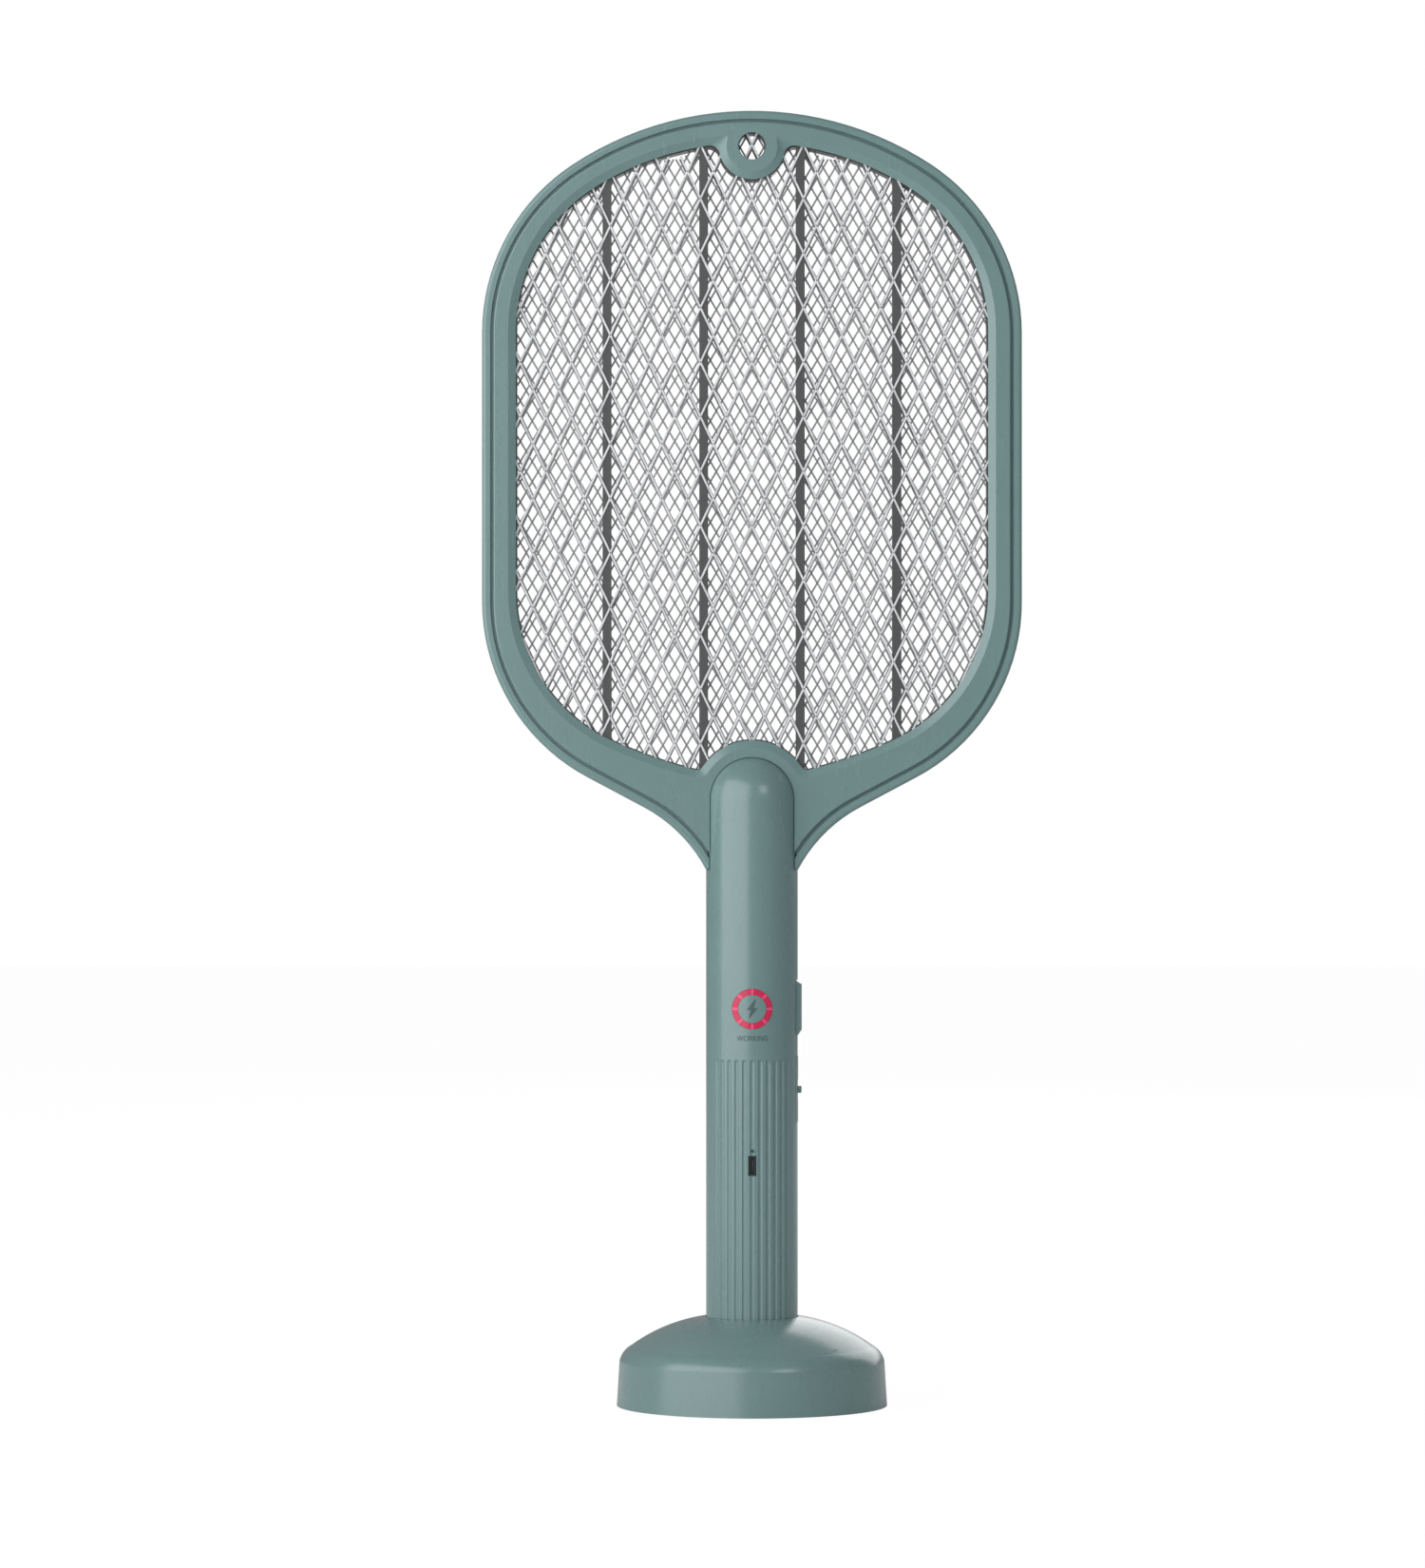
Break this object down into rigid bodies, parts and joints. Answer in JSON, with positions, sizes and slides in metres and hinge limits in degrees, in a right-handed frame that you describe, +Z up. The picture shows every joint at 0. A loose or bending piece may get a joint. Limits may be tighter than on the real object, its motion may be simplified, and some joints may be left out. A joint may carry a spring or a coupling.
{
  "type": "electric bug zapper",
  "caption": "Racket-shaped electric insect zapper with an oval wire-grid head, a round handle with a push button and slide switch, standing in a weighted round stand.",
  "frame": {"origin": "centre of the stand's footprint, on the surface that it stands on", "axes": "+Z up along the handle to the head; the front with the indicator faces -Y; the button and slide switch are on the +X side"},
  "size_m": [0.22, 0.1104, 0.528],
  "materials": {
    "shell": "satin moulded ABS, grey green",
    "floor_plastic": "matt moulded ABS",
    "black_plastic": "matt black",
    "grid_metal": "bright expanded metal",
    "steel": "plain steel",
    "lamp_red": "translucent red light guide",
    "lamp_clear": "clear",
    "board": "solder mask",
    "ferrite": "ferrite",
    "tape": "yellow tape",
    "capacitor": "dipped film capacitor",
    "cell_wrap": "heat-shrink wrap",
    "lead_red": "insulated lead",
    "lead_black": "insulated lead",
    "rubber": "matt rubber"
  },
  "bodies": {
    "stand": {"stand_shell": "shell", "stand_floor": "floor_plastic", "stand_screws": "steel", "ballast_ring": "steel", "stand_feet": "rubber"},
    "racket": {"head_front_frame": "shell", "head_rear_frame": "shell", "carrier_front": "black_plastic", "carrier_rear": "black_plastic", "front_guard_grid": "grid_metal", "live_grid": "grid_metal", "rear_guard_grid": "grid_metal", "head_screws": "steel", "handle_front_shell": "shell", "handle_rear_shell": "shell", "handle_screws": "steel", "handle_end_cap": "shell", "indicator_ring": "lamp_red", "indicator_disc": "shell", "charge_light": "lamp_clear", "main_board": "board", "board_screws": "steel", "board_leds": "lamp_clear", "usb_socket": "steel", "transformer_core": "ferrite", "transformer_winding": "tape", "hv_capacitors": "capacitor", "battery_cell": "cell_wrap", "battery_contacts": "steel", "side_board": "board", "tact_switch": "black_plastic", "switch_plate": "shell", "slide_switch_body": "black_plastic", "live_lead": "lead_red", "guard_lead": "lead_black"},
    "push_button": {"push_button": "shell", "switch_stem": "black_plastic"},
    "slide_switch": {"slide_knob": "shell"}
  },
  "joints": [
    {"name": "racket_lift", "type": "slide", "parent": "stand", "child": "racket", "axis": [0, 0, 1], "range_m": [0, 0.05]},
    {"name": "button_press", "type": "slide", "parent": "racket", "child": "push_button", "axis": [-1, 0, 0], "range_m": [0, 0.0012], "stiffness_N_per_m": 800, "springref_m": -0.0012},
    {"name": "mode_slide", "type": "slide", "parent": "racket", "child": "slide_switch", "axis": [0, 0, 1], "range_m": [-0.0025, 0.0025]}
  ]
}
